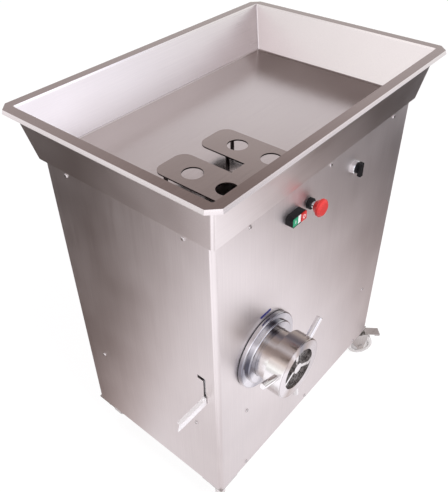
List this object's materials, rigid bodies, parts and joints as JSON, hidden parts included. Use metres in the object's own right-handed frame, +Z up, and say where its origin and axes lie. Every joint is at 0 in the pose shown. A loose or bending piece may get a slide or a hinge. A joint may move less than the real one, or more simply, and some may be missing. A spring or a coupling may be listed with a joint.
{
  "type": "meat grinder",
  "caption": "Floor-standing electric meat grinder: stainless cabinet on casters, large feed tray with finger guard, mincing head and push-button controls.",
  "frame": {"origin": "floor level under the centre of the whole machine's plan", "axes": "+Z up, the mincing head and controls face -Y, the tray's long side runs along X"},
  "size_m": [0.859, 0.605, 1.022],
  "materials": {
    "sheet_steel": "brushed",
    "polished_steel": "polished",
    "cutting_steel": "ground",
    "shaft_steel": "machined",
    "fastener_steel": "satin",
    "frame_paint": "satin",
    "seal_rubber": "matt",
    "cast_case": "cast",
    "motor_case": "cast",
    "black_plastic": "matt",
    "green_plastic": "gloss",
    "white_lens": "gloss",
    "red_plastic": "gloss",
    "bright_trim": "polished",
    "lock_steel": "satin",
    "caster_steel": "plated",
    "caster_tyre": "matt"
  },
  "bodies": {
    "cabinet": {"feed_tray": "sheet_steel", "tray_skirt": "sheet_steel", "finger_guard": "sheet_steel", "front_panel": "sheet_steel", "left_panel": "sheet_steel", "right_panel": "sheet_steel", "rear_panel": "sheet_steel", "base_plate": "sheet_steel", "panel_screws": "fastener_steel", "base_frame": "frame_paint", "feed_chute": "sheet_steel", "head_seal": "seal_rubber", "head_flange": "polished_steel", "grinder_barrel": "polished_steel", "plate_key": "cutting_steel", "mincing_plate": "cutting_steel", "start_stop_housing": "black_plastic", "pilot_lens": "white_lens", "estop_collar": "bright_trim", "selector_bezel": "bright_trim", "lock_guide": "lock_steel", "shaft_bearings": "shaft_steel", "shaft_seal": "seal_rubber", "gearbox_housing": "cast_case", "gearbox_cover": "cast_case", "motor_housing": "motor_case", "motor_stator": "shaft_steel", "fan_cowl": "black_plastic", "terminal_box": "black_plastic", "drive_bolts": "fastener_steel", "control_box": "frame_paint", "cable_gland": "black_plastic", "caster_plates": "caster_steel"},
    "worm_drive": {"output_shaft": "shaft_steel", "output_gear": "shaft_steel", "feed_worm": "cutting_steel", "cutter_knife": "cutting_steel"},
    "motor_drive": {"motor_rotor": "shaft_steel", "drive_pinion": "shaft_steel", "motor_fan": "black_plastic"},
    "plate_support": {"plate_support": "polished_steel"},
    "ring_nut": {"ring_nut": "polished_steel", "nut_handles": "polished_steel"},
    "head_lock": {"lock_lever": "lock_steel", "lock_bolt": "lock_steel"},
    "start_button": {"start_button": "green_plastic"},
    "stop_button": {"stop_button": "red_plastic"},
    "estop_plunger": {"estop_plunger": "bright_trim"},
    "estop_cap": {"estop_cap": "red_plastic"},
    "selector_knob": {"selector_knob": "black_plastic"},
    "caster_fork_front_left": {"caster_fork_front_left": "caster_steel"},
    "caster_wheel_front_left": {"caster_wheel_front_left": "caster_tyre"},
    "caster_brake_front_left": {"caster_brake_front_left": "caster_steel"},
    "caster_fork_front_right": {"caster_fork_front_right": "caster_steel"},
    "caster_wheel_front_right": {"caster_wheel_front_right": "caster_tyre"},
    "caster_brake_front_right": {"caster_brake_front_right": "caster_steel"},
    "caster_fork_rear_left": {"caster_fork_rear_left": "caster_steel"},
    "caster_wheel_rear_left": {"caster_wheel_rear_left": "caster_tyre"},
    "caster_fork_rear_right": {"caster_fork_rear_right": "caster_steel"},
    "caster_wheel_rear_right": {"caster_wheel_rear_right": "caster_tyre"}
  },
  "joints": [
    {"name": "worm_turn", "type": "hinge", "parent": "cabinet", "child": "worm_drive", "pos_m": [-0.1795, -0.2085, 0.51], "axis": [0, -1, 0], "continuous": true},
    {"name": "motor_turn", "type": "hinge", "parent": "cabinet", "child": "motor_drive", "pos_m": [-0.0445, -0.2085, 0.51], "axis": [0, -1, 0], "continuous": true},
    {"name": "plate_support_slide", "type": "slide", "parent": "cabinet", "child": "plate_support", "axis": [0, -1, 0], "range_m": [0, 0.0181]},
    {"name": "ring_nut_turn", "type": "hinge", "parent": "plate_support", "child": "ring_nut", "pos_m": [-0.1795, -0.2085, 0.51], "axis": [0, -1, 0], "range_deg": [0, 1080]},
    {"name": "head_lock_lift", "type": "slide", "parent": "cabinet", "child": "head_lock", "axis": [0, 0, 1], "range_m": [0, 0.066]},
    {"name": "start_press", "type": "slide", "parent": "cabinet", "child": "start_button", "axis": [0, 1, 0], "range_m": [0, 0.0035], "stiffness_N_per_m": 400},
    {"name": "stop_press", "type": "slide", "parent": "cabinet", "child": "stop_button", "axis": [0, 1, 0], "range_m": [0, 0.0035], "stiffness_N_per_m": 400},
    {"name": "estop_press", "type": "slide", "parent": "cabinet", "child": "estop_plunger", "axis": [0, 1, 0], "range_m": [0, 0.006]},
    {"name": "estop_twist", "type": "hinge", "parent": "estop_plunger", "child": "estop_cap", "pos_m": [-0.0435, -0.2085, 0.834], "axis": [0, 1, 0], "range_deg": [0, 40], "stiffness_Nm_per_rad": 0.05},
    {"name": "selector_turn", "type": "hinge", "parent": "cabinet", "child": "selector_knob", "pos_m": [0.1335, -0.2085, 0.834], "axis": [0, -1, 0], "range_deg": [-45, 45]},
    {"name": "swivel_front_left", "type": "hinge", "parent": "cabinet", "child": "caster_fork_front_left", "pos_m": [-0.3075, -0.1765, 0], "axis": [0, 0, 1], "continuous": true},
    {"name": "roll_front_left", "type": "hinge", "parent": "caster_fork_front_left", "child": "caster_wheel_front_left", "pos_m": [-0.28487, -0.15387, 0.04], "axis": [-0.7071, 0.7071, 0], "continuous": true},
    {"name": "brake_front_left", "type": "hinge", "parent": "caster_fork_front_left", "child": "caster_brake_front_left", "pos_m": [-0.27568, -0.14468, 0.087], "axis": [-0.7071, 0.7071, 0], "range_deg": [0, 10]},
    {"name": "swivel_front_right", "type": "hinge", "parent": "cabinet", "child": "caster_fork_front_right", "pos_m": [0.3485, -0.1765, 0], "axis": [0, 0, 1], "continuous": true},
    {"name": "roll_front_right", "type": "hinge", "parent": "caster_fork_front_right", "child": "caster_wheel_front_right", "pos_m": [0.37113, -0.19913, 0.04], "axis": [0.7071, 0.7071, 0], "continuous": true},
    {"name": "brake_front_right", "type": "hinge", "parent": "caster_fork_front_right", "child": "caster_brake_front_right", "pos_m": [0.38032, -0.20832, 0.087], "axis": [0.7071, 0.7071, 0], "range_deg": [0, 10]},
    {"name": "swivel_rear_left", "type": "hinge", "parent": "cabinet", "child": "caster_fork_rear_left", "pos_m": [-0.3075, 0.2215, 0], "axis": [0, 0, 1], "continuous": true},
    {"name": "roll_rear_left", "type": "hinge", "parent": "caster_fork_rear_left", "child": "caster_wheel_rear_left", "pos_m": [-0.2755, 0.2215, 0.04], "axis": [0, 1, 0], "continuous": true},
    {"name": "swivel_rear_right", "type": "hinge", "parent": "cabinet", "child": "caster_fork_rear_right", "pos_m": [0.3485, 0.2215, 0], "axis": [0, 0, 1], "continuous": true},
    {"name": "roll_rear_right", "type": "hinge", "parent": "caster_fork_rear_right", "child": "caster_wheel_rear_right", "pos_m": [0.37857, 0.23245, 0.04], "axis": [-0.342, 0.9397, 0], "continuous": true}
  ],
  "couplings": [
    {"joint": "motor_turn", "follows": "worm_turn", "ratio": -5},
    {"joint": "plate_support_slide", "follows": "ring_nut_turn", "m_per_rad": 0.00095493}
  ]
}
